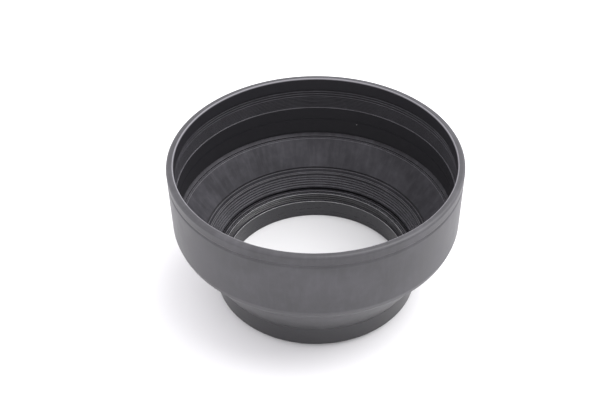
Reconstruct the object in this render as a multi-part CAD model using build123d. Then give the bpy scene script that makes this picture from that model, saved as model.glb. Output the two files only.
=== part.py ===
from build123d import *
import os
from math import hypot

# Three-position rubber lens hood, standing on its mount thread with its mouth up.
# Z is the optical axis and Z = 0 is the rear edge of the mount thread.
# Two metal rings hold one rubber moulding. The moulding is divided here at its
# moulded hinge grooves, because its stiff sections move apart when the hood folds.
# Every piece is round about Z, so an outline is a list of (radius, height) in millimetres.

# Filter threads, drawn as plain cylinders at their crests
thread_major_r = 27.5
thread_minor_r = 27.1
mount_thread_height = 1.5
thread_chamfer = 0.2

# Metal rings
bore_r = 26.55
ring_shoulder_r = 28.2
ring_shoulder_top = 2.3
joint_thread_r = 27.45
screw_clearance = 0.02
seam_z = 6.0
retaining_ring_r = 28.0
retaining_ring_bottom = 3.8
metal_top = 8.5
metal_chamfer = 0.2

# Base collar of the rubber, around the rings
collar_bottom = 1.5
collar_draft_r = 29.4
collar_draft_z = 2.8
collar_edge_round = 0.9
rubber_clearance = 0.05
lip_inner_r = 28.25
lip_height = 8.8
lip_width = 0.6
lip_groove = (29.2, 9.15)
lip_chamfer = 0.3

# Neck and cone: straight lines between these circles
neck_foot = (29.85, 8.2)
waist = (36.28, 19.86)
neck_inner_foot = (29.0, 9.5)
bead_foot = (31.2, 13.5)
bead_top = (32.4, 14.95)
bead_proud = 0.1
bead_rise = 0.25
cone_top = (37.8, 22.8)
hinge_gap = 0.1

# Ribs inside the neck
neck_rib_count = 5
neck_rib_pitch = 0.75
neck_rib_depth = 0.2

# Front barrel
rim_r = 40.0
height = 44.55
shoulder_top_z = 25.6
barrel_foot_r = 39.8
corner_z = 24.9
shoulder_edge = (39.52, 23.95)
shoulder_round = 3.5
mouth_r = 38.0
lower_wall_r = 38.5
fold_groove = (39.0, 24.1)
fold_bead = (38.6, 23.6)
lip_round = 0.45
outer_lip_round = 0.35
outer_groove_z = 41.45
outer_groove_depth = 0.3
outer_groove_width = 1.0
line_groove_z = 29.9
line_groove_depth = 0.2

# Light trap inside the mouth: a recessed band of coarse ribs above fine ones
trap_r = 38.6
trap_top_z = 40.6
trap_foot_z = 33.9
trap_ledge_r = 38.35
trap_step = 0.1
coarse_rib_top = 39.7
coarse_rib_count = 3
coarse_rib_pitch = 0.82
coarse_rib_depth = 0.25
fine_rib_top = 37.4
fine_rib_count = 7
fine_rib_pitch = 0.5
fine_rib_depth = 0.15


def turned(points, rounded=()):
    """A solid of revolution about Z, with the named corners rounded: (point, radius)."""
    face = make_face(Polyline(*[(r, 0, z) for r, z in points], close=True)).face()
    for (r, z), radius in rounded:
        corner = face.vertices().sort_by_distance((r, 0, z))[0]
        face = face.fillet_2d(radius, [corner])
    return revolve(face, Axis.Z, 360)


def along(start, end, distance):
    """The point that lies this distance from start, on the way to end."""
    length = hypot(end[0] - start[0], end[1] - start[1])
    return tuple(a + (b - a) * distance / length for a, b in zip(start, end))


def through_wall(inner, gap=0.0):
    """The point of the cone's outer face straight through the wall from an inner point."""
    length = hypot(waist[0] - neck_foot[0], waist[1] - neck_foot[1])
    run = ((waist[0] - neck_foot[0]) / length, (waist[1] - neck_foot[1]) / length)
    distance = (inner[0] - neck_foot[0]) * run[0] + (inner[1] - neck_foot[1]) * run[1]
    return along(neck_foot, waist, distance - gap)


def grooves(start, end, first, count, pitch, depth):
    """V grooves cut into the wall on the left of the line from start to end, as outline points."""
    length = hypot(end[0] - start[0], end[1] - start[1])
    inward = ((start[1] - end[1]) / length, (end[0] - start[0]) / length)
    points = []
    for index in range(count):
        middle = first + index * pitch
        r, z = along(start, end, middle)
        points.append(along(start, end, middle - pitch / 3))
        points.append((r + inward[0] * depth, z + inward[1] * depth))
        points.append(along(start, end, middle + pitch / 3))
    return points


def mount_ring():
    """Rear metal ring: male thread, shoulder, and a tube that screws into the front ring."""
    tube_r = joint_thread_r - screw_clearance
    return turned([
        (bore_r, 0), (thread_major_r - thread_chamfer, 0), (thread_major_r, thread_chamfer),
        (thread_major_r, mount_thread_height), (ring_shoulder_r, mount_thread_height),
        (ring_shoulder_r, ring_shoulder_top), (tube_r, ring_shoulder_top),
        (tube_r, seam_z), (bore_r, seam_z),
    ])


def retaining_ring():
    """Front metal ring: female thread above the seam, and below it the thread for the tube."""
    return turned([
        (joint_thread_r, retaining_ring_bottom), (retaining_ring_r, retaining_ring_bottom),
        (retaining_ring_r, metal_top), (thread_minor_r + metal_chamfer, metal_top),
        (thread_minor_r, metal_top - metal_chamfer), (thread_minor_r, seam_z),
        (joint_thread_r, seam_z),
    ])


def base_collar():
    """Rubber collar around the rings, with the inner flange that they clamp."""
    flange_r = joint_thread_r + rubber_clearance
    sleeve_r = retaining_ring_r + rubber_clearance
    bottom_r = ring_shoulder_r + rubber_clearance
    outer_corner = (collar_draft_r, collar_bottom)
    return turned([
        (bottom_r, collar_bottom), outer_corner, (collar_draft_r, collar_draft_z),
        neck_foot, neck_inner_foot, lip_groove, (lip_inner_r + lip_width, lip_height),
        (lip_inner_r, lip_height), (sleeve_r, lip_height - lip_chamfer),
        (sleeve_r, retaining_ring_bottom), (flange_r, retaining_ring_bottom),
        (flange_r, ring_shoulder_top), (bottom_r, ring_shoulder_top),
    ], [(outer_corner, collar_edge_round)])


def neck_web():
    """Ribbed conical web that folds down around the collar."""
    top = along(bead_foot, neck_inner_foot, hinge_gap)
    return turned([
        neck_foot, through_wall(bead_foot, hinge_gap), top,
        *grooves(top, neck_inner_foot, neck_rib_pitch, neck_rib_count, neck_rib_pitch, neck_rib_depth),
        neck_inner_foot,
    ])


def middle_ring():
    """Stiff rounded bead between the two hinges."""
    crest = (bead_foot[0] - bead_proud, bead_foot[1] + bead_rise)
    return turned([through_wall(bead_foot), through_wall(bead_top), bead_top, crest, bead_foot])


def cone_web():
    """Smooth conical web, with the thick shoulder at its outer edge."""
    return turned([
        through_wall(bead_top), waist, shoulder_edge, (barrel_foot_r, corner_z - hinge_gap),
        (lower_wall_r, corner_z - hinge_gap), fold_groove, fold_bead, cone_top, bead_top,
    ], [(shoulder_edge, shoulder_round)])


def front_barrel():
    """Stiff front section: lip, outer groove, ribbed light trap and smooth inner wall."""
    outside = [
        (barrel_foot_r, corner_z), (rim_r, shoulder_top_z),
        (rim_r, outer_groove_z - outer_groove_width / 2),
        (rim_r - outer_groove_depth, outer_groove_z), (rim_r, outer_groove_z + outer_groove_width / 2),
        (rim_r, height),
    ]
    trap_top = (trap_r, trap_top_z)
    trap_foot = (trap_r, trap_foot_z)
    inside = [
        (mouth_r, height), (mouth_r, trap_top_z + trap_step), trap_top,
        *grooves(trap_top, trap_foot, trap_top_z - coarse_rib_top, coarse_rib_count,
                 coarse_rib_pitch, coarse_rib_depth),
        *grooves(trap_top, trap_foot, trap_top_z - fine_rib_top, fine_rib_count,
                 fine_rib_pitch, fine_rib_depth),
        trap_foot, (trap_ledge_r, trap_foot_z - trap_step),
        (lower_wall_r, line_groove_z + line_groove_depth),
        (lower_wall_r + line_groove_depth, line_groove_z),
        (lower_wall_r, line_groove_z - line_groove_depth), (lower_wall_r, corner_z),
    ]
    return turned(outside + inside, [
        ((rim_r, height), outer_lip_round), ((mouth_r, height), lip_round),
    ])


pieces = {
    "mount_ring": mount_ring(),
    "retaining_ring": retaining_ring(),
    "base_collar": base_collar(),
    "neck_web": neck_web(),
    "middle_ring": middle_ring(),
    "cone_web": cone_web(),
    "front_barrel": front_barrel(),
}

os.makedirs("parts", exist_ok=True)
for name, piece in pieces.items():
    piece.label = name
    export_step(piece, f"parts/{name}.step")
    print(f"{name}: {piece.volume:.0f} mm3")
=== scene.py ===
from math import pi, radians

import bpy
import numpy as np
from bpy.props import FloatProperty, FloatVectorProperty, IntProperty, PointerProperty
from mathutils import Matrix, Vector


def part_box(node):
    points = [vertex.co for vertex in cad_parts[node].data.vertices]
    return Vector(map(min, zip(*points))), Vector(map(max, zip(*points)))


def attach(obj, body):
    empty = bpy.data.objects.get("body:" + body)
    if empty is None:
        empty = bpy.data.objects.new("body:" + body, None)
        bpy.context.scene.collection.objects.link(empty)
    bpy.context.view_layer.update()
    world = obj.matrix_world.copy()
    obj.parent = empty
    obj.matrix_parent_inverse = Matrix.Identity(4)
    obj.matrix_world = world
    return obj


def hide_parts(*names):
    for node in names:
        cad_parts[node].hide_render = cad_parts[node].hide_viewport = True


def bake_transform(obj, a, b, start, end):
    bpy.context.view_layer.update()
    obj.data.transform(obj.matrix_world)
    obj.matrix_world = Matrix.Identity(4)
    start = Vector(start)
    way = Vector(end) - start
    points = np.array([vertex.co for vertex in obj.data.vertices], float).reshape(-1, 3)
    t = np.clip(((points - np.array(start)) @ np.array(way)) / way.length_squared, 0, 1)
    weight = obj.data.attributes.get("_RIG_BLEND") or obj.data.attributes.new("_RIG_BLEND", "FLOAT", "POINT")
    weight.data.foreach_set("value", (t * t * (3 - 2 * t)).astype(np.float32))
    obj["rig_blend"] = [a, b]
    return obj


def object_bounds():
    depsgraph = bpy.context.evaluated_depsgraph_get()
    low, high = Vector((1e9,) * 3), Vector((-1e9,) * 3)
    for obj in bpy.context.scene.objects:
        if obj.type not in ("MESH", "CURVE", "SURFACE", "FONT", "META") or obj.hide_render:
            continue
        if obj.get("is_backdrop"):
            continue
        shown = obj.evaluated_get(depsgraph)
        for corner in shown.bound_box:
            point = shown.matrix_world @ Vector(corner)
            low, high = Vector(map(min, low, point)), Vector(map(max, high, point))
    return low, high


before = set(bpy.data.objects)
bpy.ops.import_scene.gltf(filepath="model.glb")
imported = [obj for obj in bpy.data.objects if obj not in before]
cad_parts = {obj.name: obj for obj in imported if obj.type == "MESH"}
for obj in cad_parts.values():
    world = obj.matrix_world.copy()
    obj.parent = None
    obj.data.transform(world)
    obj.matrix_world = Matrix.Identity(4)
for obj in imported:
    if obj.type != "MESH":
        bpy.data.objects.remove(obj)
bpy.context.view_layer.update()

bl_info = {
    "name": "Folding Rubber Lens Hood",
    "version": (1, 0, 0),
    "blender": (4, 5, 0),
    "location": "3D View > Sidebar > Lens Hood",
    "description": "Builds a three-position rubber lens hood on two threaded metal rings",
    "category": "Add Mesh",
}

MM = 0.001
SEGMENTS = 240  # faces round the axis
ARC_POINTS = 5  # outline points along a rounded corner
ARC_LIMIT = 0.45  # largest share of a side that a rounded corner takes
SUPPORT = 0.05 * MM  # how far a support point stands off a rounded corner
SUPPORT_LIMIT = 0.04  # largest share of a side for that
SAME_POINT = 0.001 * MM  # outline points nearer than this are one
TOUCHING = 0.02 * MM  # how near a cylinder a point counts as on it
THREAD_STEP = 0.06 * MM  # longest side of an outline along a thread
PLAIN_STEP = 0.6 * MM  # longest side elsewhere on the rings and the collar
CRISP = 0.05 * MM  # rounding of a crisp moulded corner
CREST_WEAR_AND_GLINT = 0.03  # edge mask on a thread's crests, where a rounded corner has 1; worn anodising and a painted glint
FACING_AXIS = 0.25  # a face is an inner one if its normal points to the axis by more
SHARP_ANGLE = radians(42)  # faces that meet at more than this have a sharp edge


# ---------------------------------------------------------------- settings

def length(name, description, value):
    """A length property in metres, from a value in millimetres."""
    return FloatProperty(
        name=name, description=description, default=value * MM, unit="LENGTH", precision=5,
    )


def circle(name, description, radius, height):
    """A property for one circle round the axis: its radius and height, from millimetres."""
    return FloatVectorProperty(
        name=name, description=description, size=2, default=(radius * MM, height * MM),
        unit="LENGTH", precision=5,
    )


def position(name, description, *metres):
    """A property for a place in the frame, in metres."""
    return FloatVectorProperty(
        name=name, description=description, size=3, default=metres, unit="LENGTH",
        subtype="TRANSLATION",
    )


def colour(name, description, value):
    """A colour property in linear light."""
    return FloatVectorProperty(
        name=name, description=description, size=3, default=value, min=0.0, max=1.0,
        subtype="COLOR",
    )


def degrees(name, description, value):
    """An angle property, from a value in degrees."""
    return FloatProperty(
        name=name, description=description, default=radians(value), subtype="ANGLE",
    )


def amount(name, description, value):
    """A property for a number without a unit."""
    return FloatProperty(name=name, description=description, default=value)


def quantity(name, description, value):
    """A property for how many there are."""
    return IntProperty(name=name, description=description, default=value)


class ThreadSizes(bpy.types.PropertyGroup):
    """The filter thread, cut in the front ring and on the rear one."""
    pitch: length("Pitch", "Distance between two turns", 0.75)
    depth: length("Depth", "From crest to root", 0.42)
    flank: amount("Flank", "Steepness of the groove: 0.5 is a sharp V, more leaves flats", 0.65)
    run_out: length("Run-out", "Height over which the thread starts and ends", 0.22)
    clearance: length("Clearance", "Plain height left under the front thread", 0.12)


class RingSizes(bpy.types.PropertyGroup):
    """The two turned metal rings."""
    bore_radius: length("Bore radius", "Smooth light path", 26.55)
    bore_rear_round: length("Rear bore rounding", "Rear edge of the bore", 0.15)
    bore_front_round: length("Front bore rounding", "Edge of the bore at the seam", 0.1)
    crest_radius: length("Crest radius", "Inner crest of the front thread", 27.1)
    tube_radius: length("Tube radius", "Where the rings screw together", 27.45)
    thread_step: length("Thread step", "From the rear thread's crest out to the shoulder", 0.7)
    edge: length("Broken edge", "Chamfer on the rings' edges", 0.2)
    edge_round: length("Edge rounding", "Softening of each turned edge", 0.05)
    rim_round: length("Rim rounding", "Rounding of the front ring's two upper edges", 0.14)
    seam_gap: length("Seam gap", "Fine gap between the two rings", 0.06)


class CollarSizes(bpy.types.PropertyGroup):
    """The rubber collar round the rings."""
    draft: circle("Draft circle", "Outer face just above the rounded foot", 29.4, 2.8)
    draft_round: length("Draft rounding", "Softening of the outer face there", 1.2)
    foot_inset: length("Foot inset", "How far the foot's edge lies inside the draft circle", 0.1)
    foot_round: length("Foot rounding", "Radius of the lower outer edge", 0.9)
    seat_round: length("Seat rounding", "Radius of the lower inner edge", 0.1)
    ridge: length("Ridge", "How far the upper edge stands out", 0.07)
    ridge_slope: length("Ridge slope", "How much less it stands out at its lower corner", 0.02)
    ridge_foot: length("Ridge foot", "Its lower corner, down from the neck's foot", 0.35)
    ridge_foot_round: length("Ridge foot rounding", "Radius of its lower corner", 0.1)
    ridge_top: length("Ridge top", "Its upper corner, down from the neck's foot", 0.1)
    ridge_top_round: length("Ridge top rounding", "Radius of its upper corner", 0.08)
    lip: circle("Lip", "Inner edge of the lip over the front ring", 28.25, 8.95)
    lip_width: length("Lip width", "Flat top of that lip", 0.62)
    lip_outer_round: length("Outer lip rounding", "Radius of its outer edge", 0.12)
    lip_inner_round: length("Inner lip rounding", "Radius of its inner edge", 0.14)
    lip_height: length("Lip height", "From the lip down to the sleeve", 0.35)
    groove_roof: circle("Groove roof", "Inmost point of the groove behind the lip", 29.40, 9.15)
    groove_floor: circle("Groove floor", "Its lower corner", 29.28, 8.55)
    flange_rise: length("Flange height", "From the foot to the flange the rings clamp", 0.8)
    clearance: length("Clearance", "Between the rubber and the rings", 0.05)


class WebSizes(bpy.types.PropertyGroup):
    """The conical webs and the circles between which they run."""
    neck_foot: circle("Neck foot", "Outer face, where the neck leaves the collar", 29.85, 8.2)
    neck_inner_foot: circle("Inner neck foot", "Inner face at the same hinge", 29.05, 9.7)
    waist: circle("Waist", "Outer face, where the cone meets the shoulder", 36.28, 19.86)
    waist_round: length("Waist rounding", "Softening of the outer face there", 0.8)
    bead_foot: circle("Bead foot", "Inner face under the middle bead", 31.2, 13.4)
    bead_top: circle("Bead top", "Floor of the groove over the middle bead", 32.62, 14.9)
    cone_foot: circle("Cone foot", "Lower inner edge of the cone, from the bead's top", -0.02, 0.32)
    cone_top: circle("Cone top", "Upper inner edge of the cone", 37.65, 22.58)
    cone_round: length("Cone rounding", "Radius of the cone's two inner edges", 0.14)
    neck_hold: length("Neck hold", "Width past the neck's foot that stays with the collar", 0.05)
    cone_hold: length("Cone hold", "Radius up to which the cone stays with the bead", 33.4)
    cone_reach: length("Cone reach", "Width past the cone's top that still bends", 0.1)


class BeadSizes(bpy.types.PropertyGroup):
    """The middle bead's corners, each measured from the bead's foot or its top."""
    edge: circle("Edge", "Its upper edge, from the top", -0.52, -0.05)
    ledge: circle("Ledge", "Corner over the crest, from the foot", 0.42, 0.52)
    step_round: length("Step rounding", "Radius of these two corners", 0.12)
    crest: circle("Crest", "Its crest, from the foot", -0.26, 0.40)
    crest_round: length("Crest rounding", "Radius of the crest", 0.18)


class RibSizes(bpy.types.PropertyGroup):
    """Ribs inside the neck and in the light trap."""
    neck_count: quantity("Neck grooves", "Grooves inside the neck", 5)
    neck_first: length("First neck groove", "Down the neck from the bead", 0.5)
    neck_pitch: length("Neck pitch", "Distance between neck grooves", 0.75)
    neck_depth: length("Neck depth", "Depth of a neck groove", 0.17)
    coarse_count: quantity("Coarse grooves", "Upper light trap", 3)
    coarse_top: length("Coarse top", "Height of the first coarse groove", 39.7)
    coarse_pitch: length("Coarse pitch", "Distance between coarse grooves", 0.82)
    coarse_depth: length("Coarse depth", "Depth of a coarse groove", 0.18)
    fine_count: quantity("Fine grooves", "Lower light trap", 7)
    fine_top: length("Fine top", "Height of the first fine groove", 37.4)
    fine_pitch: length("Fine pitch", "Distance between fine grooves", 0.5)
    fine_depth: length("Fine depth", "Depth of a fine groove", 0.09)
    softness: length("Softness", "Rounding of every rib", 0.09)


class BarrelSizes(bpy.types.PropertyGroup):
    """The stiff front section and its shoulder."""
    mouth_radius: length("Mouth radius", "Inner wall under the lip", 38.0)
    trap_radius: length("Trap radius", "Wall of the recessed light trap", 38.6)
    trap_top: length("Trap top", "Upper end of the light trap", 40.6)
    trap_foot: length("Trap foot", "Lower end of the light trap", 33.9)
    trap_slope: length("Trap slope", "Height of the slopes at both ends of the trap", 0.12)
    ledge_radius: length("Ledge radius", "Wall just under the light trap", 38.35)
    ledge_round: length("Ledge rounding", "Upper edge of that wall", 0.08)
    wall_radius: length("Wall radius", "Plain lower wall", 38.5)
    step_round: length("Step rounding", "Foot of the light trap, and lower edge of the ledge", 0.04)
    line_height: length("Line height", "Fine undercut step round the lower wall", 29.9)
    line_depth: length("Line depth", "How far it cuts into the wall", 0.14)
    line_round: length("Line rounding", "Its inmost corner", 0.03)
    line_width: length("Line width", "Height over which it runs out below", 0.8)
    line_end_round: length("Line end rounding", "Where it meets the wall below", 0.2)
    lip_round: length("Inner lip rounding", "Radius of the mouth's inner edge", 0.6)
    outer_lip_round: length("Outer lip rounding", "Radius of the outer edge", 0.7)
    band_groove: circle("Outer groove", "Its depth, and its height on the outside", 0.3, 41.45)
    band_width: length("Outer groove width", "From edge to edge", 1.1)
    band_round: length("Outer groove rounding", "Its floor and both its edges", 0.6)
    shoulder_top: length("Shoulder top", "Height where the outside begins to curve in", 25.6)
    shoulder: circle("Shoulder", "Corner of the shoulder before it is rounded", 39.52, 23.95)
    shoulder_round: length("Shoulder rounding", "Radius of the shoulder", 5.0)
    fold_roof: circle("Fold groove roof", "Upper corner of the front hinge's deep groove", 39.15, 24.70)
    fold_groove: circle("Fold groove", "Lower corner of that groove", 39.1, 23.85)
    fold_bead: circle("Fold bead", "Crest of the thin bead under it", 38.35, 23.2)
    fold_bead_round: length("Fold bead rounding", "Radius of that crest", 0.1)
    fold_dip: circle("Fold dip", "Dip between the bead and the cone", 38.25, 22.75)
    fold_dip_round: length("Fold dip rounding", "Radius of that dip", 0.06)


class RubberLook(bpy.types.PropertyGroup):
    """Colours and surface of the rubber. A frequency counts a pattern's features in a metre."""
    base: colour("Rubber", "Clean moulded rubber", (0.0125, 0.0120, 0.0140))
    inner_base: colour("Inner rubber", "Matt finish inside, against stray light", (0.0125, 0.0120, 0.0145))
    bloom: colour("Bloom", "Pale haze on the surface", (0.072, 0.070, 0.079))
    # Painted shade: below the first height the outside's bloom is thinnest, so the rubber darkens towards
    # the floor.
    foot_shade_base: length("Bloom foot", "Height below which the outside's bloom is thinnest", 4.0)
    foot_shade_top: length("Bloom top", "Height above which it is full", 24.0)
    haze_least: amount("Least haze", "Share of bloom between the streaks", 0.24)
    haze_most: amount("Most haze", "Share of bloom in a streak", 0.34)
    haze_blotches: amount("Blotches", "Share that the large blotches add", 0.22)
    haze_patches: amount("Patches", "Share that the small patches add", 0.06)
    blotches: amount("Blotch frequency", "Large blotches of bloom", 95.0)
    patches: amount("Patch frequency", "Small patches of bloom", 380.0)
    streaks: amount("Streak frequency", "Streaks from top to bottom, in one radian", 26.0)
    streak_rise: amount("Streak rise", "How fast a streak changes with height", 6.0)
    # Painted highlight: edges that face up are mixed towards this pale colour, by the outer and inner
    # amounts below.
    edge_wear_and_highlight: colour("Rubbed edge", "Edges that face up", (0.30, 0.293, 0.315))
    outer_edge_highlight: amount("Outer wear", "How far the outside's edges are rubbed", 0.05)
    inner_edge_highlight: amount("Inner wear", "How far the inside's edges are rubbed", 0.7)
    speck: colour("Speck", "Dust and small nicks", (0.30, 0.29, 0.29))
    specks: amount("Speck frequency", "Places where a speck may be", 150.0)
    speck_rarity: amount("Speck rarity", "Share of those places that have none", 0.90)
    gloss: amount("Gloss", "Specular level of the outside", 0.5)
    rough_clean: amount("Clean roughness", "Where it is clean", 0.36)
    rough_hazy: amount("Hazy roughness", "Where it is hazy", 0.50)
    inner_gloss: amount("Inner gloss", "Specular level of the inside", 0.22)
    inner_rough_clean: amount("Inner clean roughness", "Where it is clean", 0.55)
    inner_rough_hazy: amount("Inner hazy roughness", "Where it is hazy", 0.65)
    grain: amount("Grain frequency", "Fine grain of the mould", 3200.0)
    grain_depth: length("Grain depth", "From its valleys to its peaks", 0.04)
    ripple: amount("Ripple frequency", "Slow unevenness of the surface", 140.0)
    ripple_depth: length("Ripple depth", "From its valleys to its peaks", 0.2)


class MetalLook(bpy.types.PropertyGroup):
    """Colours and surface of the anodised rings. A frequency counts features in a metre."""
    base: colour("Anodised", "Black anodising", (0.030, 0.029, 0.034))
    # Painted shade: the thread's roots are mixed towards this near-black by their depth, in place of the
    # shade inside the grooves.
    root: colour("Thread root", "Anodising at the bottom of the thread", (0.002, 0.002, 0.0023))
    # Partly painted highlight: edges and thread crests are mixed towards this near white, as worn anodising
    # and as the glints they catch.
    worn_and_glint: colour("Worn edge", "Where the anodising has rubbed thin", (0.80, 0.80, 0.81))
    wear_and_glint: amount("Wear", "How far the edges are worn", 0.9)
    smoothest: amount("Least roughness", "Of the turned surface", 0.26)
    roughest: amount("Most roughness", "Of the turned surface", 0.35)
    scuffs: amount("Scuff frequency", "Small scuffs", 420.0)
    scuff_rough: amount("Scuff roughness", "What a scuff adds", 0.10)
    turning_round: amount("Turning, round", "Frequency of the turning lines across the axis", 60.0)
    turning_rise: amount("Turning, rise", "Their frequency along the axis", 9000.0)
    turning_depth: length("Turning depth", "Depth of a turning line", 0.02)


class StageSizes(bpy.types.PropertyGroup):
    """Camera, light and floor."""
    camera: position("Camera", "Where the camera stands", 0.0, -0.1928, 0.1907)
    lens: amount("Focal length", "In millimetres on a 36 mm sensor", 54.0)
    tilt: degrees("Tilt", "Angle below the horizon", 40.05)
    pan: degrees("Pan", "Angle to the right", -1.28)
    roll: degrees("Roll", "Turn about the line of sight", -1.13)
    horizon: amount("Horizon", "Strength of the surround at eye level", 2.0)
    zenith: amount("Zenith", "Strength of the surround overhead", 1.25)
    tint: colour("Tint", "Colour of the surround", (0.985, 0.970, 1.0))
    lamp: FloatProperty(
        name="Soft box", description="Power of the overhead soft box", default=8.0, unit="POWER",
    )
    lamp_place: position("Soft box place", "Where it hangs, turned to the origin", 0.40, 0.10, 0.80)
    lamp_size: length("Soft box size", "Its diameter", 950.0)
    floor: colour("Floor", "Pale table top", (0.85, 0.85, 0.855))
    floor_half: length("Floor size", "From its middle to each side", 3000.0)
    floor_shade: amount("Floor shade", "Brightness of its darkest places, against the rest", 0.985)


class LensHoodSettings(bpy.types.PropertyGroup):
    """Everything that can be changed about the hood."""
    thread: PointerProperty(type=ThreadSizes)
    rings: PointerProperty(type=RingSizes)
    collar: PointerProperty(type=CollarSizes)
    webs: PointerProperty(type=WebSizes)
    bead: PointerProperty(type=BeadSizes)
    ribs: PointerProperty(type=RibSizes)
    barrel: PointerProperty(type=BarrelSizes)
    rubber: PointerProperty(type=RubberLook)
    metal: PointerProperty(type=MetalLook)
    stage: PointerProperty(type=StageSizes)


# ---------------------------------------------------------------- outlines

def straight_through(inner, webs):
    """The point of the cone's outer face straight through the wall from an inner point.
    It is the foot of the perpendicular on the line from the neck's foot to the waist."""
    foot, waist = np.array(webs.neck_foot), np.array(webs.waist)
    run = (waist - foot) / np.linalg.norm(waist - foot)
    return foot + run * ((np.array(inner) - foot) @ run)


def grooves(start, end, first, count, pitch, depth, softness):
    """Rounded V grooves along a straight wall, as outline corners.
    Groove i has its middle at first + i x pitch from start. Its lips lie a third of a pitch
    to each side, and its floor lies depth to the left of the line."""
    start, end = np.array(start), np.array(end)
    run = (end - start) / np.linalg.norm(end - start)
    leftwards = np.array([-run[1], run[0]])
    middles = first + pitch * np.arange(count)
    along = np.add.outer(middles, np.array([-1, 0, 1]) * pitch / 3).reshape(-1, 1)
    into = np.tile([0.0, depth, 0.0], count).reshape(-1, 1)
    corners = start + along * run + into * leftwards
    return np.hstack([corners, np.full((len(corners), 1), softness)])


def rounded(corners):
    """Closed outline whose corners (radius, height, rounding) are arcs tangent to their sides.
    An arc starts rounding / tan(half the inside angle) from its corner, at most ARC_LIMIT of
    the shorter side. It is the rational quadratic curve whose middle weight is the sine of that
    half angle, which is a true arc. A support point stands just outside each end. The third
    column of the result is the edge mask, 0 on the sides and 1 in the middle of an arc."""
    corners = np.vstack([np.atleast_2d(row) for row in corners])
    point, rounding = corners[:, :2], corners[:, 2]
    back = np.roll(point, 1, axis=0) - point
    ahead = np.roll(point, -1, axis=0) - point
    side = np.minimum(np.linalg.norm(back, axis=1), np.linalg.norm(ahead, axis=1))
    back /= np.linalg.norm(back, axis=1)[:, None]
    ahead /= np.linalg.norm(ahead, axis=1)[:, None]
    half = np.arccos(np.clip((back * ahead).sum(axis=1), -1, 1)) / 2
    reach = np.minimum(rounding / np.tan(half), ARC_LIMIT * side)[:, None, None]
    margin = np.minimum(SUPPORT, SUPPORT_LIMIT * side)[:, None, None]
    share = np.linspace(0, 1, ARC_POINTS)[None, :, None]
    middle = 2 * np.sin(half)[:, None, None] * share * (1 - share)
    weight = (1 - share) ** 2 + middle + share ** 2
    shift = (1 - share) ** 2 * back[:, None] + share ** 2 * ahead[:, None]
    arc = point[:, None] + reach * shift / weight
    before = point[:, None] + (reach + margin) * back[:, None]
    after = point[:, None] + (reach + margin) * ahead[:, None]
    mask = np.sin(pi * np.linspace(0, 1, ARC_POINTS))
    mask = np.tile(np.concatenate([[0], mask, [0]]), len(point))
    line = np.concatenate([before, arc, after], axis=1).reshape(-1, 2)
    line = np.column_stack([line, mask])
    gap = np.linalg.norm(np.roll(line, -1, axis=0)[:, :2] - line[:, :2], axis=1)
    return line[gap > SAME_POINT]


def divided(line, longest):
    """The outline with each side cut into equal steps no longer than longest."""
    step = np.roll(line, -1, axis=0) - line
    count = np.maximum(1, np.ceil(np.linalg.norm(step[:, :2], axis=1) / longest)).astype(int)
    which = np.repeat(np.arange(len(line)), count)
    order = np.arange(count.sum()) - np.repeat(np.cumsum(count) - count, count)
    return line[which] + step[which] * (order / np.repeat(count, count))[:, None]


def near_wall(line, radius, low, high):
    """True for the outline's sides that lie on a cylinder between two heights."""
    middle = (line + np.roll(line, -1, axis=0)) / 2
    between = (middle[:, 1] > low) & (middle[:, 1] < high)
    return (abs(middle[:, 0] - radius) < TOUCHING) & between


def thread_cut(radius, low, high, thread):
    """A function for the depth of a right-hand thread on a cylinder, over height and angle.
    The phase is height / pitch - angle / full turn. Across one turn the groove is
    flank x (1 - |4 phase - 2|) + a half, kept between 0 and 1: a V with a flat crest and root. It
    fades out by a smooth step over the run-out at both ends."""
    def cut(r, z, angle):
        phase = (z / thread.pitch - angle / (2 * pi)) % 1.0
        groove = np.clip(thread.flank * (1 - abs(4 * phase - 2)) + 0.5, 0, 1)
        inside = np.clip(np.minimum(z - low, high - z) / thread.run_out, 0, 1)
        fade = inside ** 2 * (3 - 2 * inside)
        return thread.depth * groove * fade * (abs(r - radius) < TOUCHING)
    return cut


# ---------------------------------------------------------------- meshes

def smooth_mesh(name, points, faces, material_index):
    """A smooth mesh from an array of points and one of each face's four corners."""
    mesh = bpy.data.meshes.new(name)
    mesh.vertices.add(len(points))
    mesh.vertices.foreach_set("co", points.astype(np.float32).ravel())
    mesh.loops.add(faces.size)
    mesh.loops.foreach_set("vertex_index", faces.astype(np.int32).ravel())
    mesh.polygons.add(len(faces))
    mesh.polygons.foreach_set("loop_start", np.arange(0, faces.size, 4, dtype=np.int32))
    mesh.polygons.foreach_set("material_index", material_index.astype(np.int32))
    mesh.update(calc_edges=True)
    mesh.shade_smooth()
    mesh.set_sharp_from_angle(angle=SHARP_ANGLE)
    return mesh


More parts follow.
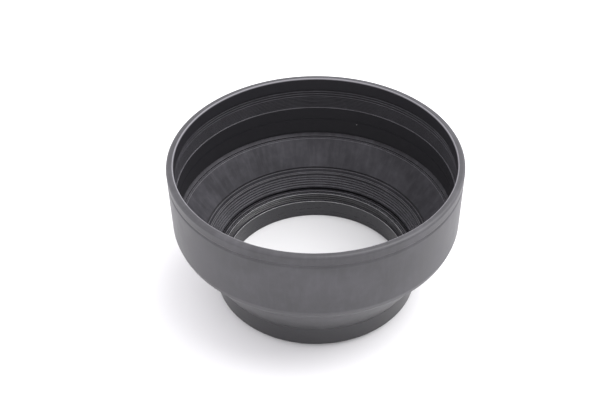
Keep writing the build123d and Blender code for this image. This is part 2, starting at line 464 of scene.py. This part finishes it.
def turned(name, line, cut=None, sign=1):
    """A closed ring from a closed outline: the point (r cos a, r sin a, z) for every outline
    point (r, z) and every angle a. With a cut, r changes by sign x cut(r, z, a). The outline
    runs clockwise, so that the faces point outwards. Three point attributes are kept: edge,
    the outline's mask with a thread's crests added; sunk, the share of the cut's full depth; and
    upward, how far the normal points up. A side whose normal points towards the axis by more
    than FACING_AXIS takes the second material."""
    ahead = np.roll(line, -1, axis=0)
    if (line[:, 0] * ahead[:, 1] - ahead[:, 0] * line[:, 1]).sum() > 0:
        line = line[::-1]
    tangent = np.roll(line, -1, axis=0)[:, :2] - np.roll(line, 1, axis=0)[:, :2]
    upward = tangent[:, 0] / np.linalg.norm(tangent, axis=1)
    side = np.roll(line, -1, axis=0)[:, :2] - line[:, :2]
    inward = side[:, 1] / np.linalg.norm(side, axis=1) > FACING_AXIS
    angle = np.linspace(0, 2 * pi, SEGMENTS, endpoint=False)[None, :]
    r = np.repeat(line[:, :1], SEGMENTS, axis=1)
    z = np.repeat(line[:, 1:2], SEGMENTS, axis=1)
    edge = np.repeat(line[:, 2:3], SEGMENTS, axis=1)
    sunk = np.zeros_like(r)
    if cut is not None:
        depth = cut(r, z, angle)
        threaded = depth.max(axis=1, keepdims=True) > 0
        sunk = depth / depth.max()
        # The crests join the edge mask, which paints them pale: worn anodising and a painted glint.
        edge = edge + CREST_WEAR_AND_GLINT * threaded * (1 - sunk) ** 2 * (edge == 0)
        r = r + sign * depth
    points = np.stack([r * np.cos(angle), r * np.sin(angle), z], axis=-1).reshape(-1, 3)
    ring = SEGMENTS * np.arange(len(line))[:, None]
    spoke = np.arange(SEGMENTS)[None, :]
    next_ring, next_spoke = np.roll(ring, -1, axis=0), np.roll(spoke, -1, axis=1)
    quads = [ring + spoke, next_ring + spoke, next_ring + next_spoke, ring + next_spoke]
    faces = np.stack(quads, axis=-1).reshape(-1, 4)
    mesh = smooth_mesh(name, points, faces, np.repeat(inward, SEGMENTS))
    upward = np.repeat(upward, SEGMENTS)
    for label, values in (("edge", edge.ravel()), ("sunk", sunk.ravel()), ("upward", upward)):
        attribute = mesh.attributes.new(label, "FLOAT", "POINT")
        attribute.data.foreach_set("value", values.astype(np.float32))
    piece = bpy.data.objects.new(name, mesh)
    bpy.context.scene.collection.objects.link(piece)
    return piece


def fold_by_radius(piece, inner, outer):
    """How far each point of a web follows the outer section as the web folds.
    With t rising from 0 at the inner radius to 1 at the outer one, the share is
    steady x t + (1 - steady) x t^2 (3 - 2t), so that the web turns inside out and keeps its
    thickness."""
    steady = 0.7
    mesh = piece.data
    co = np.empty(len(mesh.vertices) * 3, np.float32)
    mesh.vertices.foreach_get("co", co)
    radius = np.hypot(co[0::3], co[1::3])
    t = np.clip((radius - inner) / (outer - inner), 0, 1)
    share = steady * t + (1 - steady) * t ** 2 * (3 - 2 * t)
    mesh.attributes["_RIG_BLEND"].data.foreach_set("value", share.astype(np.float32))


def hand_over(piece, node, finish):
    """The piece takes its outer and inner material and stands for its CAD node."""
    for material in finish:
        piece.data.materials.append(material)
    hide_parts(node)


# ---------------------------------------------------------------- materials

class Nodes:
    """A material's node tree, with short calls to add and join nodes."""

    def __init__(self, name):
        self.material = bpy.data.materials.new(name)
        self.material.use_nodes = True
        self.tree = self.material.node_tree
        self.tree.nodes.clear()
        self.surface = self.add("ShaderNodeBsdfPrincipled")
        output = self.add("ShaderNodeOutputMaterial")
        self.join(self.surface.outputs["BSDF"], output.inputs["Surface"])

    def add(self, kind, **settings):
        """A new node with its settings, and with values for inputs given by name."""
        made = self.tree.nodes.new(kind)
        for key, value in settings.items():
            if key in made.inputs:
                made.inputs[key].default_value = value
            else:
                setattr(made, key, value)
        return made

    def join(self, source, target):
        """A link from one node's output to another's input."""
        self.tree.links.new(source, target)

    def place(self, scale=(1, 1, 1)):
        """Object coordinates, stretched."""
        coordinates = self.add("ShaderNodeTexCoord")
        mapping = self.add("ShaderNodeMapping", Scale=scale)
        self.join(coordinates.outputs["Object"], mapping.inputs["Vector"])
        return mapping.outputs["Vector"]

    def round_axis(self, place, stretch):
        """The compass direction from the axis, with the height times stretch added to it: a
        pattern read here runs in streaks from top to bottom."""
        flat = self.add("ShaderNodeVectorMath", operation="MULTIPLY")
        flat.inputs[1].default_value = (1.0, 1.0, 0.0)
        self.join(place, flat.inputs[0])
        compass = self.add("ShaderNodeVectorMath", operation="NORMALIZE")
        self.join(flat.outputs[0], compass.inputs[0])
        rise = self.add("ShaderNodeVectorMath", operation="MULTIPLY_ADD")
        rise.inputs[1].default_value = (0.0, 0.0, stretch)
        self.join(place, rise.inputs[0])
        self.join(compass.outputs[0], rise.inputs[2])
        return rise.outputs[0]

    def noise(self, place, scale, detail=2.0, rough=0.5):
        """Soft random pattern from 0 to 1, with about scale features in a unit of place."""
        made = self.add("ShaderNodeTexNoise", Scale=scale, Detail=detail, Roughness=rough)
        self.join(place, made.inputs["Vector"])
        return made.outputs["Fac"]

    def spread(self, value, low, high, to_low=0.0, to_high=1.0):
        """A value stretched from one range to another, kept within it."""
        made = self.add("ShaderNodeMapRange", interpolation_type="SMOOTHSTEP")
        ends = {"From Min": low, "From Max": high, "To Min": to_low, "To Max": to_high}
        for key, number in ends.items():
            made.inputs[key].default_value = number
        self.join(value, made.inputs["Value"])
        return made.outputs["Result"]

    def maths(self, operation, first, second):
        """Two values joined by arithmetic; the second may be a plain number."""
        made = self.add("ShaderNodeMath", operation=operation)
        self.join(first, made.inputs[0])
        if isinstance(second, (int, float)):
            made.inputs[1].default_value = second
        else:
            self.join(second, made.inputs[1])
        return made.outputs["Value"]

    def mix(self, share, first, second):
        """Two colours mixed; each is a plain colour or another node's output."""
        made = self.add("ShaderNodeMix", data_type="RGBA")
        self.join(share, made.inputs["Factor"])
        for key, value in ((6, first), (7, second)):
            if isinstance(value, bpy.types.NodeSocket):
                self.join(value, made.inputs[key])
            else:
                made.inputs[key].default_value = (*value, 1.0)
        return made.outputs[2]

    def attribute(self, name):
        """One of the point attributes that a turned piece carries."""
        return self.add("ShaderNodeAttribute", attribute_name=name).outputs["Fac"]

    def bump(self, height, strength, distance, under=None):
        """A normal that follows a height pattern, on top of another bump if one is given."""
        made = self.add("ShaderNodeBump", Strength=strength, Distance=distance)
        self.join(height, made.inputs["Height"])
        if under is not None:
            self.join(under, made.inputs["Normal"])
        return made.outputs["Normal"]


def bloom_and_painted_light(nodes, place, look, inside):
    """How much pale colour covers the rubber: bloom in streaks, blotches and small patches added up.
    Inside, it is scaled up on faces that point up, as painted light from above. Outside, it thins
    towards the foot, as painted shade near the floor."""
    blotches = nodes.noise(place, look.blotches, detail=4.0, rough=0.55)
    blotches = nodes.spread(blotches, 0.34, 0.70)
    patches = nodes.noise(place, look.patches, detail=3.0, rough=0.6)
    patches = nodes.spread(patches, 0.38, 0.72)
    streaks = nodes.noise(nodes.round_axis(place, look.streak_rise), look.streaks, detail=3.0, rough=0.6)
    streaks = nodes.spread(streaks, 0.40, 0.68)
    haze = nodes.spread(streaks, 0.0, 1.0, look.haze_least, look.haze_most)
    haze = nodes.maths("ADD", haze, nodes.maths("MULTIPLY", blotches, look.haze_blotches))
    haze = nodes.maths("ADD", haze, nodes.maths("MULTIPLY", patches, look.haze_patches))
    if inside:
        # Painted light: inside, the bloom is scaled by how far a face points up, so up-facing faces come out
        # paler.
        top_light = nodes.spread(nodes.attribute("upward"), 0.36, 0.57, to_low=0.05, to_high=1.55)
        return nodes.maths("MULTIPLY", haze, top_light)
    height = nodes.add("ShaderNodeSeparateXYZ")
    nodes.join(place, height.inputs["Vector"])
    # Painted shade: the outside's bloom fades towards the foot, darkening the rubber near the floor.
    foot_shade = nodes.spread(height.outputs["Z"], look.foot_shade_base, look.foot_shade_top, to_low=0.05)
    return nodes.maths("MULTIPLY", haze, foot_shade)


def speck_mask(nodes, place, look):
    """Small round dots, one in the middle of each cell that is chosen by its own colour."""
    cells = nodes.add("ShaderNodeTexVoronoi", Scale=look.specks, Randomness=1.0)
    nodes.join(place, cells.inputs["Vector"])
    dot = nodes.spread(cells.outputs["Distance"], 0.022, 0.036, to_low=1.0, to_high=0.0)
    lottery = nodes.add("ShaderNodeSeparateColor")
    nodes.join(cells.outputs["Color"], lottery.inputs["Color"])
    chosen = nodes.maths("GREATER_THAN", lottery.outputs[0], look.speck_rarity)
    return nodes.maths("MULTIPLY", dot, chosen)


def rubber_material(look, inside):
    """Matt charcoal rubber: pale bloom, a fine moulded grain and a few pale specks. Edges that face up
    are painted pale as a highlight, and the bloom carries painted light and shade (see below).
    The inside is darker and duller."""
    name = "moulded_rubber_inside" if inside else "moulded_rubber_outside"
    if name in bpy.data.materials:
        return bpy.data.materials[name]
    nodes = Nodes(name)
    surface = nodes.surface.inputs
    place = nodes.place()

    # Share of pale bloom, with painted light on up-facing inner faces and painted shade at the outer foot.
    haze = bloom_and_painted_light(nodes, place, look, inside)
    # Painted highlight: edges that face up are mixed towards the pale edge colour.
    facing_up = nodes.spread(nodes.attribute("upward"), 0.1, 0.8)
    edge_wear_and_highlight = nodes.maths("MULTIPLY", nodes.attribute("edge"), facing_up)
    edge_wear_and_highlight = nodes.maths("MULTIPLY", edge_wear_and_highlight, look.inner_edge_highlight if inside else look.outer_edge_highlight)
    base = look.inner_base if inside else look.base
    bloom_and_highlight_colour = nodes.mix(edge_wear_and_highlight, nodes.mix(haze, base, look.bloom), look.edge_wear_and_highlight)
    specks = speck_mask(nodes, place, look)
    nodes.join(nodes.mix(specks, bloom_and_highlight_colour, look.speck), surface["Base Color"])

    clean = look.inner_rough_clean if inside else look.rough_clean
    hazy = look.inner_rough_hazy if inside else look.rough_hazy
    nodes.join(nodes.spread(haze, 0.0, 0.7, clean, hazy), surface["Roughness"])
    surface["Specular IOR Level"].default_value = look.inner_gloss if inside else look.gloss
    grain = nodes.noise(place, look.grain, rough=0.6)
    grain = nodes.bump(grain, strength=0.18, distance=look.grain_depth)
    ripple = nodes.noise(place, look.ripple)
    ripple = nodes.bump(ripple, strength=0.12, distance=look.ripple_depth, under=grain)
    nodes.join(ripple, surface["Normal"])
    return nodes.material


def rubber(look):
    """The rubber's outer and inner finish."""
    return rubber_material(look, False), rubber_material(look, True)


def metal_material(look):
    """Black anodised aluminium: fine turning lines round the axis, the thread's roots darkened as
    painted shade, and pale edges that are partly anodising rubbed thin and partly a painted highlight."""
    name = "black_anodised_metal"
    if name in bpy.data.materials:
        return bpy.data.materials[name]
    nodes = Nodes(name)
    place = nodes.place()
    fine_lines = nodes.place((look.turning_round, look.turning_round, look.turning_rise))
    turning = nodes.noise(fine_lines, scale=1.0, rough=0.6)
    scuffs = nodes.noise(place, look.scuffs, detail=4.0, rough=0.65)
    scuffs = nodes.spread(scuffs, 0.45, 0.70)

    surface = nodes.surface.inputs
    patchy = nodes.spread(scuffs, 0.0, 1.0, to_low=0.65)
    # Pale edges: partly worn anodising, partly a painted highlight on edges and thread crests.
    edge_wear_and_highlight = nodes.maths("MULTIPLY", nodes.attribute("edge"), patchy)
    edge_wear_and_highlight = nodes.maths("MULTIPLY", edge_wear_and_highlight, look.wear_and_glint)
    # Painted shade: the deeper a point sits in the thread, the nearer its colour goes to the dark root
    # colour.
    root_shade_colour = nodes.mix(nodes.attribute("sunk"), look.base, look.root)
    nodes.join(nodes.mix(edge_wear_and_highlight, root_shade_colour, look.worn_and_glint), surface["Base Color"])
    uneven = nodes.maths("MULTIPLY", scuffs, look.scuff_rough)
    turned_rough = nodes.spread(turning, 0.3, 0.7, look.smoothest, look.roughest)
    nodes.join(nodes.maths("ADD", uneven, turned_rough), surface["Roughness"])
    nodes.join(nodes.bump(turning, strength=0.25, distance=look.turning_depth), surface["Normal"])
    return nodes.material


def metal(look):
    """The rings' finish, the same outside and inside."""
    return metal_material(look), metal_material(look)


# ---------------------------------------------------------------- pieces

class LENSHOOD_OT_rear_ring(bpy.types.Operator):
    """Turns the rear metal ring: male thread, shoulder, tube and smooth bore"""
    bl_idname = "lenshood.rear_ring"
    bl_label = "Rear Mount Ring"

    def execute(self, context):
        hood = context.scene.lens_hood
        rings, thread = hood.rings, hood.thread
        low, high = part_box("mount_ring")
        shoulder = high.x
        thread_r = shoulder - rings.thread_step
        thread_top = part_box("base_collar")[0].z
        shoulder_top = thread_top + hood.collar.flange_rise
        tube_top = high.z - rings.seam_gap
        line = rounded([
            (rings.bore_radius, low.z, rings.bore_rear_round),
            (thread_r - rings.edge, low.z, rings.edge_round),
            (thread_r, low.z + rings.edge, rings.edge_round),
            (thread_r, thread_top, rings.edge_round),
            (shoulder, thread_top, rings.edge_round),
            (shoulder, shoulder_top, 0),
            (rings.tube_radius, shoulder_top, 0),
            (rings.tube_radius, tube_top, 0),
            (rings.bore_radius, tube_top, rings.bore_front_round),
        ])
        start, end = low.z + rings.edge / 2, thread_top
        on_thread = near_wall(line, thread_r, start, end)
        line = divided(line, np.where(on_thread, THREAD_STEP, PLAIN_STEP))
        piece = turned("rear_mount_ring", line, thread_cut(thread_r, start, end, thread), -1)
        hand_over(piece, "mount_ring", metal(hood.metal))
        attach(piece, "base")
        return {"FINISHED"}


class LENSHOOD_OT_front_ring(bpy.types.Operator):
    """Turns the front metal ring with the female filter thread"""
    bl_idname = "lenshood.front_ring"
    bl_label = "Front Thread Ring"

    def execute(self, context):
        hood = context.scene.lens_hood
        rings, thread = hood.rings, hood.thread
        low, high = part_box("retaining_ring")
        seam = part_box("mount_ring")[1].z
        crest = rings.crest_radius
        line = rounded([
            (rings.tube_radius, low.z, 0),
            (high.x, low.z, 0),
            (high.x, high.z, rings.rim_round),
            (crest + rings.edge, high.z, rings.rim_round),
            (crest, high.z - rings.edge, rings.edge_round),
            (crest, seam, rings.edge_round),
            (rings.tube_radius, seam, 0),
        ])
        start, end = seam + thread.clearance, high.z
        on_thread = near_wall(line, crest, seam, high.z)
        line = divided(line, np.where(on_thread, THREAD_STEP, PLAIN_STEP))
        piece = turned("front_thread_ring", line, thread_cut(crest, start, end, thread), 1)
        hand_over(piece, "retaining_ring", metal(hood.metal))
        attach(piece, "base")
        return {"FINISHED"}


class LENSHOOD_OT_collar(bpy.types.Operator):
    """Moulds the rubber collar that the two rings clamp"""
    bl_idname = "lenshood.collar"
    bl_label = "Rubber Collar"

    def execute(self, context):
        hood = context.scene.lens_hood
        collar, webs = hood.collar, hood.webs
        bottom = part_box("base_collar")[0].z
        ring_low, ring_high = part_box("retaining_ring")
        flange_r = hood.rings.tube_radius + collar.clearance
        sleeve_r = ring_high.x + collar.clearance
        shoulder_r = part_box("mount_ring")[1].x + collar.clearance
        lip_r, lip_z = collar.lip
        foot_r, foot_z = webs.neck_foot
        ridge_r = foot_r + collar.ridge
        line = rounded([
            (shoulder_r, bottom, collar.seat_round),
            (collar.draft[0] - collar.foot_inset, bottom, collar.foot_round),
            (*collar.draft, collar.draft_round),
            (ridge_r - collar.ridge_slope, foot_z - collar.ridge_foot, collar.ridge_foot_round),
            (ridge_r, foot_z - collar.ridge_top, collar.ridge_top_round),
            (foot_r, foot_z, 0),
            (*webs.neck_inner_foot, 0),
            (*collar.groove_roof, CRISP),
            (*collar.groove_floor, CRISP),
            (lip_r + collar.lip_width, lip_z, collar.lip_outer_round),
            (lip_r, lip_z, collar.lip_inner_round),
            (sleeve_r, lip_z - collar.lip_height, CRISP),
            (sleeve_r, ring_low.z, 0),
            (flange_r, ring_low.z, 0),
            (flange_r, bottom + collar.flange_rise, 0),
            (shoulder_r, bottom + collar.flange_rise, 0),
        ])
        piece = turned("rubber_collar", divided(line, PLAIN_STEP))
        hand_over(piece, "base_collar", rubber(hood.rubber))
        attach(piece, "base")
        return {"FINISHED"}


class LENSHOOD_OT_neck(bpy.types.Operator):
    """Moulds the ribbed neck web, the rear fold"""
    bl_idname = "lenshood.neck"
    bl_label = "Rubber Neck"

    def execute(self, context):
        hood = context.scene.lens_hood
        webs, ribs = hood.webs, hood.ribs
        line = rounded([
            (*webs.neck_foot, 0),
            (*straight_through(webs.bead_foot, webs), 0),
            (*webs.bead_foot, 0),
            grooves(webs.bead_foot, webs.neck_inner_foot, ribs.neck_first, ribs.neck_count,
                    ribs.neck_pitch, ribs.neck_depth, ribs.softness),
            (*webs.neck_inner_foot, 0),
        ])
        piece = turned("rubber_neck", divided(line, longest=0.35 * MM))
        hand_over(piece, "neck_web", rubber(hood.rubber))
        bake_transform(piece, "base", "middle_section", (0, 0, webs.neck_foot[1]), (0, 0, webs.bead_foot[1]))
        fold_by_radius(piece, webs.neck_foot[0] + webs.neck_hold, webs.bead_foot[0])
        return {"FINISHED"}


class LENSHOOD_OT_bead(bpy.types.Operator):
    """Moulds the stiff bead between the two folds"""
    bl_idname = "lenshood.bead"
    bl_label = "Rubber Bead"

    def execute(self, context):
        hood = context.scene.lens_hood
        webs, bead = hood.webs, hood.bead
        foot, top = np.array(webs.bead_foot), np.array(webs.bead_top)
        line = rounded([
            (*straight_through(foot, webs), 0),
            (*straight_through(top, webs), 0),
            (*top, 0),
            (*(top + bead.edge), bead.step_round),
            (*(foot + bead.ledge), bead.step_round),
            (*(foot + bead.crest), bead.crest_round),
            (*foot, 0),
        ])
        piece = turned("rubber_bead", divided(line, longest=0.5 * MM))
        hand_over(piece, "middle_ring", rubber(hood.rubber))
        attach(piece, "middle_section")
        return {"FINISHED"}


def foot_radius():
    """Outer radius where the cone's shoulder meets the front section."""
    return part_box("cone_web")[1].x


class LENSHOOD_OT_cone(bpy.types.Operator):
    """Moulds the smooth cone web with the rounded shoulder, the front fold"""
    bl_idname = "lenshood.cone"
    bl_label = "Rubber Cone"

    def execute(self, context):
        hood = context.scene.lens_hood
        webs, barrel = hood.webs, hood.barrel
        cut_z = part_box("front_barrel")[0].z
        top = np.array(webs.bead_top)
        line = rounded([
            (*straight_through(top, webs), 0),
            (*webs.waist, webs.waist_round),
            (*barrel.shoulder, barrel.shoulder_round),
            (foot_radius(), cut_z, 0),
            (barrel.wall_radius, cut_z, 0),
            (*barrel.fold_roof, CRISP),
            (*barrel.fold_groove, CRISP),
            (*barrel.fold_bead, barrel.fold_bead_round),
            (*barrel.fold_dip, barrel.fold_dip_round),
            (*webs.cone_top, webs.cone_round),
            (*(top + webs.cone_foot), webs.cone_round),
            (*top, 0),
        ])
        piece = turned("rubber_cone", divided(line, longest=0.4 * MM))
        hand_over(piece, "cone_web", rubber(hood.rubber))
        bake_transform(piece, "middle_section", "front_section", (0, 0, top[1]), (0, 0, cut_z))
        fold_by_radius(piece, webs.cone_hold, webs.cone_top[0] + webs.cone_reach)
        return {"FINISHED"}


class LENSHOOD_OT_front_section(bpy.types.Operator):
    """Moulds the stiff front section: lip, outer groove, light trap and plain wall"""
    bl_idname = "lenshood.front_section"
    bl_label = "Rubber Front Section"

    def execute(self, context):
        hood = context.scene.lens_hood
        barrel, ribs = hood.barrel, hood.ribs
        low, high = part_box("front_barrel")
        rim, top = high.x, high.z
        depth, groove_z = barrel.band_groove
        half = barrel.band_width / 2
        trap_head = (barrel.trap_radius, barrel.trap_top)
        trap_foot = (barrel.trap_radius, barrel.trap_foot)
        line = rounded([
            (foot_radius(), low.z, 0),
            (rim, barrel.shoulder_top, barrel.shoulder_round),
            (rim, groove_z - half, barrel.band_round),
            (rim - depth, groove_z, barrel.band_round),
            (rim, groove_z + half, barrel.band_round),
            (rim, top, barrel.outer_lip_round),
            (barrel.mouth_radius, top, barrel.lip_round),
            (barrel.mouth_radius, barrel.trap_top + barrel.trap_slope, CRISP),
            (*trap_head, CRISP),
            grooves(trap_head, trap_foot, barrel.trap_top - ribs.coarse_top, ribs.coarse_count,
                    ribs.coarse_pitch, ribs.coarse_depth, ribs.softness),
            grooves(trap_head, trap_foot, barrel.trap_top - ribs.fine_top, ribs.fine_count,
                    ribs.fine_pitch, ribs.fine_depth, ribs.softness),
            (*trap_foot, barrel.step_round),
            (barrel.ledge_radius, barrel.trap_foot - barrel.trap_slope, barrel.ledge_round),
            (barrel.ledge_radius, barrel.line_height, barrel.step_round),
            (barrel.wall_radius + barrel.line_depth, barrel.line_height, barrel.line_round),
            (barrel.wall_radius, barrel.line_height - barrel.line_width, barrel.line_end_round),
            (barrel.wall_radius, low.z, 0),
        ])
        piece = turned("rubber_front_section", divided(line, longest=1.5 * MM))
        hand_over(piece, "front_barrel", rubber(hood.rubber))
        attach(piece, "front_section")
        return {"FINISHED"}


# ---------------------------------------------------------------- stage

def floor_material(stage):
    """Matt pale table top with the faintest unevenness."""
    nodes = Nodes("pale_table")
    uneven = nodes.noise(nodes.place(), scale=14.0, detail=3.0)
    darker = [stage.floor_shade * value for value in stage.floor]
    nodes.join(nodes.mix(uneven, darker, stage.floor), nodes.surface.inputs["Base Color"])
    nodes.surface.inputs["Roughness"].default_value = 0.85
    nodes.surface.inputs["Specular IOR Level"].default_value = 0.2
    return nodes.material


def lay_floor(stage):
    """A square table top, at the height of the hood's lowest edge."""
    floor_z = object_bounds()[0].z
    corners = np.array([(-1, -1), (1, -1), (1, 1), (-1, 1)]) * stage.floor_half
    mesh = bpy.data.meshes.new("table_top")
    mesh.from_pydata(np.column_stack([corners, np.full(4, floor_z)]).tolist(), [], [(0, 1, 2, 3)])
    mesh.materials.append(floor_material(stage))
    floor = bpy.data.objects.new("table_top", mesh)
    bpy.context.scene.collection.objects.link(floor)
    floor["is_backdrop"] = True


def set_surround(stage):
    """A white surround whose strength falls from the horizon to the zenith."""
    world = bpy.data.worlds.new("white_surround")
    world.use_nodes = True
    tree = world.node_tree
    background = tree.nodes["Background"]
    background.inputs["Color"].default_value = (*stage.tint, 1.0)
    direction = tree.nodes.new("ShaderNodeTexCoord")
    split = tree.nodes.new("ShaderNodeSeparateXYZ")
    tree.links.new(direction.outputs["Generated"], split.inputs["Vector"])
    fall = tree.nodes.new("ShaderNodeMapRange")
    fall.inputs["To Min"].default_value = stage.horizon
    fall.inputs["To Max"].default_value = stage.zenith
    tree.links.new(split.outputs["Z"], fall.inputs["Value"])
    tree.links.new(fall.outputs["Result"], background.inputs["Strength"])
    bpy.context.scene.world = world


def hang_soft_box(stage):
    """A round area light that shines at the origin."""
    light = bpy.data.lights.new("soft_box", "AREA")
    light.shape = "DISK"
    light.size = stage.lamp_size
    light.energy = stage.lamp
    lamp = bpy.data.objects.new("soft_box", light)
    lamp.location = stage.lamp_place
    lamp.rotation_euler = lamp.location.to_track_quat("Z", "Y").to_euler()
    bpy.context.scene.collection.objects.link(lamp)


def place_camera(stage):
    """The camera, turned by pan about the vertical, then dipped by tilt, then rolled."""
    optics = bpy.data.cameras.new("studio_camera")
    optics.sensor_width = 36.0
    optics.lens = stage.lens
    optics.clip_start = 0.01
    optics.clip_end = 20.0
    camera = bpy.data.objects.new("studio_camera", optics)
    turn = Matrix.Rotation(-stage.pan, 4, "Z")
    dip = Matrix.Rotation(pi / 2 - stage.tilt, 4, "X")
    roll = Matrix.Rotation(stage.roll, 4, "Z")
    camera.matrix_world = Matrix.Translation(stage.camera) @ turn @ dip @ roll
    bpy.context.scene.collection.objects.link(camera)
    bpy.context.scene.camera = camera


class LENSHOOD_OT_stage(bpy.types.Operator):
    """Lays the pale floor and sets the soft light, brightest at eye level, and the camera"""
    bl_idname = "lenshood.stage"
    bl_label = "Stage"

    def execute(self, context):
        stage = context.scene.lens_hood.stage
        lay_floor(stage)
        set_surround(stage)
        hang_soft_box(stage)
        place_camera(stage)
        context.scene.view_settings.view_transform = "Standard"
        return {"FINISHED"}


# ---------------------------------------------------------------- panel

OPERATORS = (
    LENSHOOD_OT_rear_ring,
    LENSHOOD_OT_front_ring,
    LENSHOOD_OT_collar,
    LENSHOOD_OT_neck,
    LENSHOOD_OT_bead,
    LENSHOOD_OT_cone,
    LENSHOOD_OT_front_section,
    LENSHOOD_OT_stage,
)


class LENSHOOD_PT_sidebar(bpy.types.Panel):
    """The hood's pieces and stage, in the order in which they are made"""
    bl_idname = "LENSHOOD_PT_sidebar"
    bl_label = "Lens Hood"
    bl_space_type = "VIEW_3D"
    bl_region_type = "UI"
    bl_category = "Lens Hood"

    def draw(self, context):
        for operator in OPERATORS:
            self.layout.operator(operator.bl_idname)


GROUPS = (
    ThreadSizes, RingSizes, CollarSizes, WebSizes, BeadSizes, RibSizes, BarrelSizes,
    RubberLook, MetalLook, StageSizes, LensHoodSettings,
)


def register():
    for each in (*GROUPS, *OPERATORS, LENSHOOD_PT_sidebar):
        bpy.utils.register_class(each)
    bpy.types.Scene.lens_hood = PointerProperty(type=LensHoodSettings)


def unregister():
    del bpy.types.Scene.lens_hood
    for each in reversed((*GROUPS, *OPERATORS, LENSHOOD_PT_sidebar)):
        bpy.utils.unregister_class(each)


def main():
    register()
    bpy.ops.lenshood.rear_ring()
    bpy.ops.lenshood.front_ring()
    bpy.ops.lenshood.collar()
    bpy.ops.lenshood.neck()
    bpy.ops.lenshood.bead()
    bpy.ops.lenshood.cone()
    bpy.ops.lenshood.front_section()
    bpy.ops.lenshood.stage()


if __name__ == "__main__":
    main()
